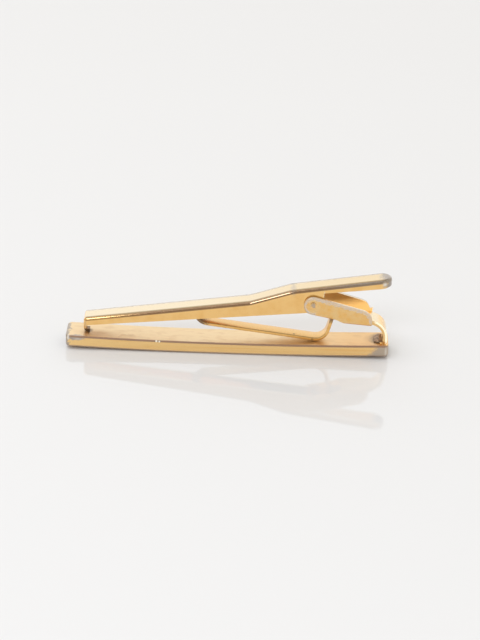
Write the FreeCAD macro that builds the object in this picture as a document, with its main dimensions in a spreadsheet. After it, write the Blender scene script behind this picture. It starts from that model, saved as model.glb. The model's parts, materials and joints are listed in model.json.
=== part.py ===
"""Sprung tie clip: a bowed front bar, a soldered hinge bracket and a channel lever with a flat spring.

The frame has its origin at the centre of the bar's front face, which lies flat. +X runs along the bar
towards the hinge, +Y across it and +Z away from the front face, towards the lever. Lengths are in
millimetres.
"""

import FreeCAD, Part
import math
import os
import Sketcher

# Driving sizes, one cell each
SIZES = {
    # Front bar, bowed so that its ends lift off the flat land in the middle of its front face
    "bar_length": 57.4,
    "bar_width": 6.0,
    "bar_thickness": 2.15,
    "bar_land_length": 4.0,
    "bar_bow_radius": 690.0,
    "bar_straight_length": 2.7,
    "bar_corner_radius": 0.9,
    "bar_front_round": 0.45,
    "bar_back_round": 0.2,
    # Pivot of the lever, from the bar's hinge end and from its front face
    "pivot_inset": 13.66,
    "pivot_height": 10.15,
    "rivet_radius": 0.45,
    "rivet_head_radius": 0.62,
    "rivet_head_height": 0.08,
    "rivet_seat_gap": 0.01,
    "rivet_running_gap": 0.03,
    # Lever, a channel of sheet with a step between its tip and its thumb end
    "lever_sheet": 0.45,
    "lever_width": 4.2,
    "lever_tip_width": 4.1,
    "lever_tip_inset": 3.15,
    "lever_tip_rise": 3.05,
    "lever_tip_depth": 1.22,
    "lever_wall_depth": 1.86,
    "lever_tip_corner": 0.6,
    "lever_edge_round": 0.55,
    "lever_lobe_radius": 1.8,
    "ridge_back": 3.83,
    "ridge_rise": 2.06,
    "ridge_bend_radius": 8.0,
    "step_run": 7.34,
    "step_rise": 2.41,
    "valley_bend_radius": 3.0,
    "thumb_reach": 13.71,
    "thumb_rise": 2.81,
    "thumb_cut_reach": 1.86,
    "thumb_cut_depth": 1.02,
    "thumb_end_depth": 1.5,
    # Lip under the lever's tip, which presses the tie on the bar
    "lip_width": 1.1,
    "lip_length": 1.0,
    "lip_gap": 0.02,
    # Hinge bracket, with its places measured from the pivot
    "bracket_sheet": 0.75,
    "ear_side_gap": 0.05,
    "ear_lobe_drop": 0.28,
    "ear_lobe_radius": 1.66,
    "ear_reach": 10.51,
    "ear_shoulder_radius": 2.2,
    "ear_shoulder_drop": 3.05,
    "ear_edge_round": 0.25,
    "web_start": 5.7,
    "web_drop": 3.48,
    "web_end_drop": 3.85,
    "web_relief_run": 1.26,
    "web_relief_rise": 0.62,
    "strap_width": 3.9,
    "strap_foot_inset": 0.33,
    "strap_solder_gap": 0.07,
    # The far ear is filed lower than the near one and ends in a ledge
    "far_trim_start": 1.96,
    "far_trim_rise": 0.98,
    "far_shoulder_reach": 8.2,
    "far_shoulder_drop": 2.9,
    "far_shoulder_radius": 2.0,
    "far_ledge_reach": 10.22,
    "far_ledge_drop": 2.58,
    # Leaf spring
    "spring_sheet": 0.56,
    "spring_width": 2.6,
    "spring_reach": 20.84,
    "spring_riser": 0.5,
    "spring_tail_radius": 2.43,
    "spring_belly_radius": 2.3,
    "spring_belly_gap": 0.31,
    "spring_belly_ahead": 0.57,
    "spring_hook_radius": 0.7,
    "spring_hook_reach": 4.26,
    "spring_hook_lap": 1.85,
    "spring_seat_gap": 0.02,
    # Solder
    "foot_solder_height": 1.1,
    "foot_solder_length": 1.7,
    "foot_solder_width": 4.4,
    "tail_solder_height": 0.5,
    "tail_solder_length": 0.6,
    "tail_solder_width": 1.8,
    # Every cut runs past the metal by this much
    "overrun": 5.0,
}

# Shares of the sizes that they follow
NEAR_SHARE = 0.02
RIVET_CROWN_SHARE = 0.6
WEB_BEND_SHARE = 0.6
SOLDER_HOLLOW_SHARE = 0.9

# Places worked out from the driving sizes
PLACES = {
    "bar_half": "bar_length / 2",
    "land_half": "bar_land_length / 2",
    "bow_length": "bar_half - land_half - bar_straight_length",
    "bow_angle": "asin(bow_length / bar_bow_radius)",
    "end_lift": "bar_bow_radius * (1 - cos(bow_angle)) + bar_straight_length * tan(bow_angle)",
    "end_back": "end_lift + bar_thickness / cos(bow_angle)",
    "pivot_x": "bar_half - pivot_inset",
    # Top line of the lever, from its thumb end over the ridge and the valley to its tip
    "lever_half": "lever_width / 2",
    "tip_half": "lever_tip_width / 2",
    "thumb_x": "pivot_x + thumb_reach",
    "ridge_x": "pivot_x - ridge_back",
    "ridge_z": "pivot_height + ridge_rise",
    "thumb_z": "ridge_z + thumb_rise",
    "valley_x": "ridge_x - step_run",
    "valley_z": "ridge_z - step_rise",
    "tip_x": "lever_tip_inset - bar_half",
    "tip_back": "end_back - lever_tip_inset * tan(bow_angle)",
    "tip_z": "tip_back + lever_tip_rise",
    "thumb_slope": "atan2(thumb_rise; thumb_x - ridge_x)",
    "step_slope": "atan2(step_rise; step_run)",
    "tip_slope": "atan2(valley_z - tip_z; valley_x - tip_x)",
    "ridge_turn": "(step_slope - thumb_slope) / 2",
    "ridge_lean": "(step_slope + thumb_slope) / 2",
    "valley_turn": "(step_slope - tip_slope) / 2",
    "valley_lean": "(step_slope + tip_slope) / 2",
    "ridge_bend_x": "ridge_x + ridge_bend_radius / cos(ridge_turn) * sin(ridge_lean)",
    "ridge_bend_z": "ridge_z - ridge_bend_radius / cos(ridge_turn) * cos(ridge_lean)",
    "valley_bend_x": "valley_x - valley_bend_radius / cos(valley_turn) * sin(valley_lean)",
    "valley_bend_z": "valley_z + valley_bend_radius / cos(valley_turn) * cos(valley_lean)",
    "tip_low": "tip_z - lever_tip_depth",
    "wall_low": "tip_z - lever_wall_depth",
    "cut_x": "pivot_x + thumb_cut_reach",
    "cut_z": "ridge_z + (cut_x - ridge_x) * tan(thumb_slope) - thumb_cut_depth",
    "thumb_low": "thumb_z - thumb_end_depth",
    "tip_plate_drop": "lever_sheet / cos(tip_slope)",
    "thumb_plate_drop": "lever_sheet / cos(thumb_slope)",
    "lip_low": "tip_back + lip_gap",
    # Hinge bracket
    "ear_inside": "lever_half + ear_side_gap",
    "ear_outside": "ear_inside + bracket_sheet",
    "ear_lobe_z": "pivot_height - ear_lobe_drop",
    "ear_end_x": "pivot_x + ear_reach",
    "ear_low": "pivot_height - web_end_drop",
    "web_x": "pivot_x + web_start",
    "web_z": "pivot_height - web_drop",
    "web_slope": "atan2(ear_low - web_z; ear_end_x - web_x)",
    "web_rise": "bracket_sheet / cos(web_slope)",
    "web_top": "web_z + web_rise",
    "foot_x": "bar_half - strap_foot_inset",
    "foot_back": "end_back - strap_foot_inset * tan(bow_angle)",
    "foot_in_x": "foot_x - bracket_sheet",
    "foot_in_back": "foot_back - bracket_sheet * tan(bow_angle)",
    # The strap stands upright past its solder, and one bend takes it from there to the web
    "strap_bend_z": "foot_in_back + foot_solder_height + strap_solder_gap",
    "strap_top": "web_top + (foot_x - web_x) * tan(web_slope)",
    "strap_radius": "(strap_top - strap_bend_z) / (tan(web_slope) + 1 / cos(web_slope))",
    "strap_bend_x": "foot_x - strap_radius",
    "far_ledge_z": "pivot_height - far_ledge_drop",
    # Leaf spring
    "tail_x": "pivot_x - spring_reach",
    "tail_z": "tip_z + (tail_x - tip_x) * tan(tip_slope) - tip_plate_drop",
    "tail_tilt": "spring_sheet / 2 * tan(tip_slope)",
    "tail_bend_x": "tail_x + spring_tail_radius",
    "tail_bend_z": "tail_z - spring_riser",
    "belly_x": "pivot_x + spring_belly_ahead",
    "belly_z": "bar_thickness + spring_belly_gap + spring_sheet / 2 + spring_belly_radius",
    "seat_z": "web_top + spring_seat_gap",
    "hook_end_x": "web_x + spring_hook_lap",
    "hook_end_z": "seat_z + spring_hook_lap * tan(web_slope)",
    "hook_x": "pivot_x + spring_hook_reach",
    "hook_drop": "(spring_hook_radius - spring_sheet / 2) / cos(web_slope)",
    "hook_z": "seat_z + (hook_x - web_x) * tan(web_slope) - hook_drop",
    # Solder
    "foot_solder_x": "foot_in_x - foot_solder_length",
    "foot_solder_back": "foot_in_back - foot_solder_length * tan(bow_angle)",
    "foot_solder_top": "foot_in_back + foot_solder_height",
    "tail_side_x": "tail_x + spring_sheet / 2",
    "tail_side_z": "tail_z + tail_tilt",
    "tail_solder_x": "tail_side_x + tail_solder_length",
    "tail_solder_z": "tail_side_z + tail_solder_length * tan(tip_slope)",
    "tail_solder_low": "tail_side_z - tail_solder_height",
}

doc = FreeCAD.newDocument("tie_clip")


def named(formula):
    """The formula with every driving size and place given its sheet's name."""
    result = ""
    word = ""
    for letter in formula + " ":
        if letter.isalnum() or letter == "_":
            word += letter
            continue
        sheet = "Sizes." if word in SIZES else "Places." if word in PLACES else ""
        result += sheet + word + letter
        word = ""
    return result.strip()


def fill_sheet(name, cells):
    """A spreadsheet with a label in column A and an aliased cell in column B for each entry."""
    sheet = doc.addObject("Spreadsheet::Sheet", name)
    for row, (alias, content) in enumerate(cells.items(), start=1):
        sheet.set(f"A{row}", alias)
        sheet.set(f"B{row}", content)
        sheet.setAlias(f"B{row}", alias)
    doc.recompute()
    return sheet


sizes = fill_sheet("Sizes", {alias: str(number) for alias, number in SIZES.items()})
places = fill_sheet("Places", {alias: "=" + named(formula) for alias, formula in PLACES.items()})


def value(formula):
    """The number that a formula gives."""
    result = sizes.evalExpression(named(formula))
    return float(getattr(result, "Value", result))


def new_body(label):
    body = doc.addObject("PartDesign::Body", label)
    body.Label = label
    return body


def new_sketch(body, role, name):
    """An empty sketch on one of the body's own origin planes."""
    sketch = body.newObject("Sketcher::SketchObject", name)
    plane = [feature for feature in body.Origin.OriginFeatures if feature.Role == role][0]
    sketch.AttachmentSupport = (plane, [""])
    sketch.MapMode = "FlatFace"
    return sketch


def bind(sketch, kind, place, formula):
    """A dimension of the sketch that follows a formula, or a point kept on an axis where that is zero."""
    if formula == "0":
        axis = -1 if kind == "DistanceY" else -2
        sketch.addConstraint(Sketcher.Constraint("PointOnObject", *place[2:], axis))
        return
    index = sketch.addConstraint(Sketcher.Constraint(kind, *place, value(formula)))
    sketch.setExpression(f"Constraints[{index}]", named(formula))


def tangent_line(first, second):
    """Ends of the line that leaves one stop and reaches the next, each a centre and a signed radius."""
    (x1, y1, r1), (x2, y2, r2) = first, second
    heading = math.atan2(y2 - y1, x2 - x1) + math.asin((r1 - r2) / math.hypot(x2 - x1, y2 - y1))
    side = FreeCAD.Vector(math.sin(heading), -math.cos(heading), 0)
    return FreeCAD.Vector(x1, y1, 0) + side * r1, FreeCAD.Vector(x2, y2, 0) + side * r2


def outline(sketch, stops):
    """A closed outline of lines drawn taut round its stops.

    A stop is a corner (x, y), or a round (x, y, radius, turn) with turn 1 where the outline goes left round
    it and -1 where it goes right. Centres, corners and radii follow their formulas, and joints are tangent.
    """
    spots = []
    for stop in stops:
        radius = value(stop[2]) * stop[3] if len(stop) > 2 else 0
        spots.append((value(stop[0]), value(stop[1]), radius))
    lines = []
    for spot, following in zip(spots, spots[1:] + spots[:1]):
        start, end = tangent_line(spot, following)
        lines.append((sketch.addGeometry(Part.LineSegment(start, end)), start, end))
    for index, stop in enumerate(stops):
        line_in, _, arrive = lines[index - 1]
        line_out, leave, _ = lines[index]
        if len(stop) == 2:
            sketch.addConstraint(Sketcher.Constraint("Coincident", line_in, 2, line_out, 1))
            bind(sketch, "DistanceX", (-1, 1, line_in, 2), stop[0])
            bind(sketch, "DistanceY", (-1, 1, line_in, 2), stop[1])
            continue
        x, y, radius = spots[index]
        angles = [math.atan2(spot.y - y, spot.x - x) for spot in (arrive, leave)]
        first, last = (1, 2) if stop[3] > 0 else (2, 1)
        circle = Part.Circle(FreeCAD.Vector(x, y, 0), FreeCAD.Vector(0, 0, 1), abs(radius))
        arc = sketch.addGeometry(Part.ArcOfCircle(circle, angles[first - 1], angles[last - 1]))
        sketch.addConstraint(Sketcher.Constraint("Tangent", line_in, 2, arc, first))
        sketch.addConstraint(Sketcher.Constraint("Tangent", arc, last, line_out, 1))
        bind(sketch, "Radius", (arc,), stop[2])
        bind(sketch, "DistanceX", (-1, 1, arc, 3), stop[0])
        bind(sketch, "DistanceY", (-1, 1, arc, 3), stop[1])


def strip(sketch, start, bends, end, sheet):
    """The closed outline of a bent strip of sheet.

    start and end are pairs of corners, the one on the strip's right first. A bend is (x, y, middle radius,
    turn).
    """
    right = [(x, y, f"{radius} + {turn} * {sheet} / 2", turn) for x, y, radius, turn in bends]
    left = [(x, y, f"{radius} - {turn} * {sheet} / 2", -turn) for x, y, radius, turn in reversed(bends)]
    outline(sketch, [start[0], *right, end[0], end[1], *left, start[1]])


def circle(sketch, x, y, radius):
    """A circle whose centre and radius follow their formulas."""
    centre = FreeCAD.Vector(value(x), value(y), 0)
    ring = sketch.addGeometry(Part.Circle(centre, FreeCAD.Vector(0, 0, 1), value(radius)))
    bind(sketch, "Radius", (ring,), radius)
    bind(sketch, "DistanceX", (-1, 1, ring, 3), x)
    bind(sketch, "DistanceY", (-1, 1, ring, 3), y)


def pad(body, sketch, length, name):
    """Material on both sides of the sketch's plane, length wide in all."""
    feature = body.newObject("PartDesign::Pad", name)
    feature.Profile = sketch
    feature.SideType = "Symmetric"
    feature.setExpression("Length", named(length))
    doc.recompute()


def pocket(body, sketch, length, name, side="Symmetric"):
    """A cut, length wide in all, which has to take material away.

    It goes to both sides of the sketch's plane, or with side "One side" only to the far side of the clip.
    """
    before = body.Shape.Volume
    feature = body.newObject("PartDesign::Pocket", name)
    feature.Profile = sketch
    feature.SideType = side
    feature.setExpression("Length", named(length))
    doc.recompute()
    if not body.Shape.Volume < before:
        raise RuntimeError(f"{name} cut nothing")


def middle(edge):
    return edge.valueAt((edge.FirstParameter + edge.LastParameter) / 2)


def crosses(edge):
    """True for a straight edge that runs along Y, from one side of the clip to the other."""
    if edge.Curve.TypeId != "Part::GeomLine":
        return False
    return math.hypot(edge.Curve.Direction.x, edge.Curve.Direction.z) < NEAR_SHARE


def near(one, two):
    """True where two lengths are equal to within a small part of the sheet."""
    return abs(one - two) < value("lever_sheet") * NEAR_SHARE


def fillet(body, radius, test, name):
    """Rounds the edges of the body that pass the test."""
    edges = [f"Edge{index}" for index, edge in enumerate(body.Shape.Edges, start=1) if test(edge)]
    base = body.Tip
    feature = body.newObject("PartDesign::Fillet", name)
    feature.Base = (base, edges)
    feature.setExpression("Radius", named(radius))
    doc.recompute()


# Front bar: the bowed side outline across the whole width, then its corners and its two rims rounded
bar = new_body("front_bar")
bar_side = new_sketch(bar, "XZ_Plane", "bar_side")
outline(bar_side, [
    ("-bar_half", "end_lift"),
    ("-land_half", "bar_bow_radius", "bar_bow_radius", 1),
    ("land_half", "bar_bow_radius", "bar_bow_radius", 1),
    ("bar_half", "end_lift"),
    ("bar_half", "end_back"),
    ("land_half", "bar_bow_radius", "bar_bow_radius - bar_thickness", -1),
    ("-land_half", "bar_bow_radius", "bar_bow_radius - bar_thickness", -1),
    ("-bar_half", "end_back"),
])
pad(bar, bar_side, "bar_width", "bar_blank")
bar_half = value("bar_half")
front_limit = value("end_lift + bar_thickness / 4")
back_limit = value("bar_thickness * 3 / 4")


def bar_rim(edge):
    """True round the rims of the bar's two faces, and false on the seams that cross them."""
    return not crosses(edge) or near(abs(middle(edge).x), bar_half)


def bar_upright(edge):
    return near(abs(middle(edge).x), bar_half) and near(abs(middle(edge).y), value("bar_width / 2"))


fillet(bar, "bar_corner_radius", bar_upright, "bar_corners")
fillet(bar, "bar_front_round", lambda edge: bar_rim(edge) and middle(edge).z < front_limit, "bar_front_rim")
fillet(bar, "bar_back_round", lambda edge: bar_rim(edge) and middle(edge).z > back_limit, "bar_back_rim")

# Lever blank: the side outline, trimmed to the plan outline, with its upper rim rounded
blank = new_body("lever_blank")
blank_side = new_sketch(blank, "XZ_Plane", "lever_side")
outline(blank_side, [
    ("tip_x", "wall_low"),
    ("tip_x + lever_sheet", "wall_low"),
    ("tip_x + lever_sheet", "tip_low"),
    ("pivot_x", "pivot_height", "lever_lobe_radius", 1),
    ("cut_x", "cut_z"),
    ("thumb_x", "thumb_low"),
    ("thumb_x", "thumb_z"),
    ("ridge_bend_x", "ridge_bend_z", "ridge_bend_radius", 1),
    ("valley_bend_x", "valley_bend_z", "valley_bend_radius", -1),
    ("tip_x", "tip_z"),
])
pad(blank, blank_side, "lever_width", "lever_block")


def trim_frame():
    """A rectangle well outside the lever's plan outline."""
    return [
        ("tip_x - overrun", "-lever_half - overrun"),
        ("thumb_x + overrun", "-lever_half - overrun"),
        ("thumb_x + overrun", "lever_half + overrun"),
        ("tip_x - overrun", "lever_half + overrun"),
    ]


blank_plan = new_sketch(blank, "XY_Plane", "lever_plan")
outline(blank_plan, trim_frame())
outline(blank_plan, [
    ("tip_x + lever_tip_corner", "lever_tip_corner - tip_half", "lever_tip_corner", 1),
    ("valley_x", "-lever_half"),
    ("thumb_x - lever_half", "0", "lever_half", 1),
    ("valley_x", "lever_half"),
    ("tip_x + lever_tip_corner", "tip_half - lever_tip_corner", "lever_tip_corner", 1),
])
pocket(blank, blank_plan, "2 * (thumb_z + overrun)", "lever_trim")


def lever_top(x):
    """Height of the lever's top line, without the rounding of its two bends."""
    if x > value("ridge_x"):
        return value("ridge_z") + (x - value("ridge_x")) * math.tan(math.radians(value("thumb_slope")))
    if x > value("valley_x"):
        return value("valley_z") + (x - value("valley_x")) * math.tan(math.radians(value("step_slope")))
    return value("tip_z") + (x - value("tip_x")) * math.tan(math.radians(value("tip_slope")))


def lever_rim(edge):
    """True round the rim of the lever's top, and false on the seams of its bends."""
    spot = middle(edge)
    on_top = abs(spot.z - lever_top(spot.x)) < value("lever_sheet / 4")
    return on_top and (not crosses(edge) or near(spot.x, value("tip_x")))


fillet(blank, "lever_edge_round", lever_rim, "lever_rim")
lip = new_sketch(blank, "XZ_Plane", "lever_lip")
outline(lip, [
    ("tip_x + lever_sheet", "lip_low + lever_sheet", "lever_sheet", 1),
    ("tip_x + lip_length", "lip_low"),
    ("tip_x + lip_length", "lip_low + lever_sheet"),
    ("tip_x + lever_sheet", "lip_low + lever_sheet"),
    ("tip_x + lever_sheet", "wall_low + lever_sheet"),
    ("tip_x", "wall_low + lever_sheet"),
])
pad(blank, lip, "lip_width", "lip_block")
lever_hole = new_sketch(blank, "XZ_Plane", "lever_hole")
circle(lever_hole, "pivot_x", "pivot_height", "rivet_radius + rivet_running_gap")
pocket(blank, lever_hole, "lever_width + overrun", "lever_bore")

# Hollow of the lever: everything below its top plate and within its flanges, down to its lip
hollow = new_body("lever_hollow")
hollow_side = new_sketch(hollow, "XZ_Plane", "hollow_side")
outline(hollow_side, [
    ("tip_x - overrun", "wall_low"),
    ("thumb_x + overrun", "wall_low"),
    ("thumb_x + overrun", "thumb_z + overrun * tan(thumb_slope) - thumb_plate_drop"),
    ("ridge_bend_x", "ridge_bend_z", "ridge_bend_radius - lever_sheet", 1),
    ("valley_bend_x", "valley_bend_z", "valley_bend_radius + lever_sheet", -1),
    ("tip_x - overrun", "tip_z - overrun * tan(tip_slope) - tip_plate_drop"),
])
pad(hollow, hollow_side, "lever_width", "hollow_block")
hollow_plan = new_sketch(hollow, "XY_Plane", "hollow_plan")
outline(hollow_plan, trim_frame())
outline(hollow_plan, [
    ("tip_x + lever_sheet", "lever_sheet - tip_half"),
    ("valley_x", "lever_sheet - lever_half"),
    ("thumb_x - lever_half", "0", "lever_half - lever_sheet", 1),
    ("valley_x", "lever_half - lever_sheet"),
    ("tip_x + lever_sheet", "tip_half - lever_sheet"),
])
pocket(hollow, hollow_plan, "2 * (thumb_z + overrun)", "hollow_trim")
lever = doc.addObject("Part::Cut", "clip_lever")
lever.Label = "clip_lever"
lever.Base = blank
lever.Tool = hollow
doc.recompute()

# Hinge bracket: the ears' outline across the whole width, the channel between them and the strap
bracket = new_body("hinge_bracket")
ear_side = new_sketch(bracket, "XZ_Plane", "ear_side")
outline(ear_side, [
    ("pivot_x", "ear_lobe_z", "ear_lobe_radius", 1),
    ("web_x - web_relief_run", "web_z + web_relief_rise"),
    ("web_x", "web_z"),
    ("ear_end_x", "ear_low"),
    ("ear_end_x - ear_shoulder_radius", "pivot_height - ear_shoulder_drop", "ear_shoulder_radius", 1),
])
pad(bracket, ear_side, "2 * ear_outside", "ear_block")
channel = new_sketch(bracket, "XZ_Plane", "ear_channel")
outline(channel, [
    ("pivot_x - overrun", "ear_low - overrun"),
    ("web_x", "ear_low - overrun"),
    ("web_x", "web_top"),
    ("ear_end_x + overrun", "web_top + (ear_end_x + overrun - web_x) * tan(web_slope)"),
    ("ear_end_x + overrun", "pivot_height + overrun"),
    ("pivot_x - overrun", "pivot_height + overrun"),
])
pocket(bracket, channel, "2 * ear_inside", "ear_gap")


def web_bend(edge):
    """True on the outer edges where the ears are bent up from the web."""
    spot = middle(edge)
    under = near(spot.z, value("(web_z + ear_low) / 2")) and near(spot.x, value("(web_x + ear_end_x) / 2"))
    return under and near(abs(spot.y), value("ear_outside"))


def ear_rim(edge):
    """True round the outer face of each ear, clear of the bend into the web and of the relief beside it."""
    spots = [middle(edge), *(vertex.Point for vertex in edge.Vertexes)]
    flat = all(near(abs(spot.y), value("ear_outside")) for spot in spots)
    return flat and middle(edge).z > value("web_z + web_relief_rise")


fillet(bracket, f"bracket_sheet * {WEB_BEND_SHARE}", web_bend, "web_bends")
far_ear = new_sketch(bracket, "XZ_Plane", "far_ear")
outline(far_ear, [
    ("pivot_x + far_trim_start", "pivot_height + far_trim_rise"),
    ("pivot_x + far_shoulder_reach", "pivot_height - far_shoulder_drop", "far_shoulder_radius", -1),
    ("pivot_x + far_ledge_reach", "far_ledge_z"),
    ("ear_end_x + overrun", "far_ledge_z"),
    ("ear_end_x + overrun", "pivot_height + overrun"),
    ("pivot_x + far_trim_start", "pivot_height + overrun"),
])
pocket(bracket, far_ear, "ear_outside + overrun", "far_ear_trim", "One side")
fillet(bracket, "ear_edge_round", ear_rim, "ear_rims")
strap = new_sketch(bracket, "XZ_Plane", "strap_side")
strip(
    strap,
    (("web_x", "web_z"), ("web_x", "web_top")),
    [("strap_bend_x", "strap_bend_z", "strap_radius - bracket_sheet / 2", -1)],
    (("foot_in_x", "foot_in_back"), ("foot_x", "foot_back")),
    "bracket_sheet",
)
pad(bracket, strap, "strap_width", "strap_block")
ear_hole = new_sketch(bracket, "XZ_Plane", "ear_hole")
circle(ear_hole, "pivot_x", "pivot_height", "rivet_radius + rivet_seat_gap")
pocket(bracket, ear_hole, "2 * ear_outside + overrun", "ear_bore")

# Pivot rivet: a shank with two low peened heads, turned about its own axis
rivet = new_body("pivot_rivet")
rivet.setExpression("Placement.Base.x", named("pivot_x"))
rivet.setExpression("Placement.Base.z", named("pivot_height"))
rivet_half = new_sketch(rivet, "YZ_Plane", "rivet_half")
outline(rivet_half, [
    ("-ear_outside - rivet_head_height", "0"),
    ("ear_outside + rivet_head_height", "0"),
    ("ear_outside + rivet_head_height", f"rivet_head_radius * {RIVET_CROWN_SHARE}"),
    ("ear_outside", "rivet_head_radius"),
    ("ear_outside", "rivet_radius"),
    ("-ear_outside", "rivet_radius"),
    ("-ear_outside", "rivet_head_radius"),
    ("-ear_outside - rivet_head_height", f"rivet_head_radius * {RIVET_CROWN_SHARE}"),
])
turned = rivet.newObject("PartDesign::Revolution", "rivet_turned")
turned.Profile = rivet_half
turned.ReferenceAxis = (rivet_half, ["H_Axis"])
turned.Angle = 360
doc.recompute()

# Leaf spring: a strip turned up under the lever's plate, bent round the belly, hooked on the web
spring = new_body("leaf_spring")
spring_side = new_sketch(spring, "XZ_Plane", "spring_side")
strip(
    spring_side,
    (
        ("tail_x - spring_sheet / 2", "tail_z - tail_tilt"),
        ("tail_x + spring_sheet / 2", "tail_z + tail_tilt"),
    ),
    [
        ("tail_bend_x", "tail_bend_z", "spring_tail_radius", 1),
        ("belly_x", "belly_z", "spring_belly_radius", 1),
        ("hook_x", "hook_z", "spring_hook_radius", -1),
    ],
    (
        ("hook_end_x", "hook_end_z"),
        ("hook_end_x - spring_sheet * sin(web_slope)", "hook_end_z + spring_sheet * cos(web_slope)"),
    ),
    "spring_sheet",
)
pad(spring, spring_side, "spring_width", "spring_strip")

# Solder fillets: one inside the strap's foot, one where the spring's tail meets the lever's top plate
foot_solder = new_body("bracket_solder")
foot_fillet = new_sketch(foot_solder, "XZ_Plane", "foot_fillet")
outline(foot_fillet, [
    ("foot_solder_x", "foot_solder_back"),
    ("foot_in_x", "foot_in_back"),
    ("foot_in_x", "foot_solder_top"),
    ("foot_solder_x", "foot_solder_top", f"foot_solder_height * {SOLDER_HOLLOW_SHARE}", -1),
])
pad(foot_solder, foot_fillet, "foot_solder_width", "foot_solder_block")
tail_solder = new_body("spring_solder")
tail_fillet = new_sketch(tail_solder, "XZ_Plane", "tail_fillet")
outline(tail_fillet, [
    ("tail_side_x", "tail_side_z"),
    ("tail_side_x", "tail_solder_low"),
    ("tail_solder_x", "tail_solder_low", f"tail_solder_height * {SOLDER_HOLLOW_SHARE}", -1),
    ("tail_solder_x", "tail_solder_z"),
])
pad(tail_solder, tail_fillet, "tail_solder_width", "tail_solder_block")

# Every feature has to be sound before anything is written
doc.recompute()
faults = [item.Name for item in doc.Objects if {"Invalid", "Error"} & set(item.State)]
pieces = [bar, bracket, foot_solder, rivet, lever, spring, tail_solder]
faults += [piece.Label for piece in pieces if piece.Shape.isNull() or not piece.Shape.isValid()]
if faults:
    raise RuntimeError(f"failed: {faults}")
os.makedirs("parts", exist_ok=True)
for piece in pieces:
    piece.Shape.exportStep(f"parts/{piece.Label}.step")
    box = piece.Shape.BoundBox
    print(f"{piece.Label}: {len(piece.Shape.Solids)} solid, {piece.Shape.Volume:.2f} mm3")
    print(f"    x {box.XMin:.2f} to {box.XMax:.2f}, y {box.YMin:.2f} to {box.YMax:.2f}")
    print(f"    z {box.ZMin:.2f} to {box.ZMax:.2f}")
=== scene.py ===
# %% [markdown]
# A gold-plated tie clip, lying face down on a white table. The solid pieces come from a CAD model, which is
# loaded here as a fixed frame. This lesson gives every piece its finish, models the spring and the solder
# again with softer forms, adds a bead and a burr, and lights the clip as a small product photograph.

# %% The frame
import json
import math
from collections import namedtuple
import bpy
from mathutils import Matrix, Vector


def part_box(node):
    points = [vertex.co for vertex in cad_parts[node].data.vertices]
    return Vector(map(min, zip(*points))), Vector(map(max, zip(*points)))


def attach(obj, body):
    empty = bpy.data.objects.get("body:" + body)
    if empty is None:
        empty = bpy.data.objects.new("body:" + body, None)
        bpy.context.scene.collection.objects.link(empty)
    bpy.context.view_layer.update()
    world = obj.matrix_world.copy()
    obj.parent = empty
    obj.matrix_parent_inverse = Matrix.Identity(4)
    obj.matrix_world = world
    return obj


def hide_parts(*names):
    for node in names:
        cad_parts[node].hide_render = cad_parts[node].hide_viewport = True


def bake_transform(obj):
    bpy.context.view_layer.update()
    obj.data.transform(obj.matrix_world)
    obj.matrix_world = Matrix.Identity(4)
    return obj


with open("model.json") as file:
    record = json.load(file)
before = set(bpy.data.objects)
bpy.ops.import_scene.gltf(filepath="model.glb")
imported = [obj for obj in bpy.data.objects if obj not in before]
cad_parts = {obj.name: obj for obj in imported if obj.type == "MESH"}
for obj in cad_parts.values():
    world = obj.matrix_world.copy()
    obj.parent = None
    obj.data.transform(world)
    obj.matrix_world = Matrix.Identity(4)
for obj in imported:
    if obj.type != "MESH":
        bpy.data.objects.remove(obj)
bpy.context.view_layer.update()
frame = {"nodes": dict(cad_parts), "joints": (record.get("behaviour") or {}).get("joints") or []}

MM = 0.001
nodes = frame["nodes"]
PIVOT = Vector(frame["joints"][0]["pos_m"])
bpy.ops.object.select_all(action="DESELECT")
print("CAD pieces:", ", ".join(sorted(nodes)))

# %% [markdown]
# The camera. A camera can be placed by eye, but here its place was worked out from the bar's straight
# edges, so that the render can be laid over the photograph. The three turns below are its height above the
# table, its swing to the side and its lean. The lens is long, as for any small object.

# %% Camera
PHOTO_HEIGHT_PIXELS = 640
FOCAL_PIXELS = 2200
SENSOR_WIDTH = 36
CAMERA_RISE = math.radians(25.086)
CAMERA_SWING = math.radians(0.644)
CAMERA_LEAN = math.radians(1.643)
CAMERA_DISTANCE = 391.5 * MM
CAMERA_TARGET = Vector((2.173, 0, 5.453)) * MM


def add_camera():
    """A camera that looks at the target from its distance, with its own lean about the line of sight."""
    back = Vector((
        math.sin(CAMERA_SWING) * math.cos(CAMERA_RISE),
        -math.cos(CAMERA_SWING) * math.cos(CAMERA_RISE),
        math.sin(CAMERA_RISE),
    ))
    level = Vector((math.cos(CAMERA_SWING), math.sin(CAMERA_SWING), 0))
    upright = back.cross(level)
    right = math.cos(CAMERA_LEAN) * level + math.sin(CAMERA_LEAN) * upright
    up = math.cos(CAMERA_LEAN) * upright - math.sin(CAMERA_LEAN) * level
    bpy.ops.object.camera_add()
    camera = bpy.context.object
    camera.name = "photo_camera"
    camera.data.sensor_width = SENSOR_WIDTH
    camera.data.lens = FOCAL_PIXELS / PHOTO_HEIGHT_PIXELS * SENSOR_WIDTH
    turned = Matrix((right, up, back)).transposed().to_4x4()
    camera.matrix_world = Matrix.Translation(CAMERA_TARGET + back * CAMERA_DISTANCE) @ turned
    bpy.context.scene.camera = camera
    return camera


camera = add_camera()
print("camera at", [round(x / MM, 1) for x in camera.matrix_world.translation], "mm, lens", camera.data.lens)

# %% [markdown]
# Shader nodes by name. A material can be wired by hand in the shader editor. In a script it reads better
# with a few small helpers, which add a node, fill its sockets and finish a material. Places are measured in
# millimetres on the piece itself, so that every pattern stays put when the piece moves.

# %% Shader nodes
def plug(tree, socket, source):
    """Links a socket to another socket, or sets it to a number."""
    if isinstance(source, bpy.types.NodeSocket):
        tree.links.new(source, socket)
    else:
        socket.default_value = source


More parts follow.
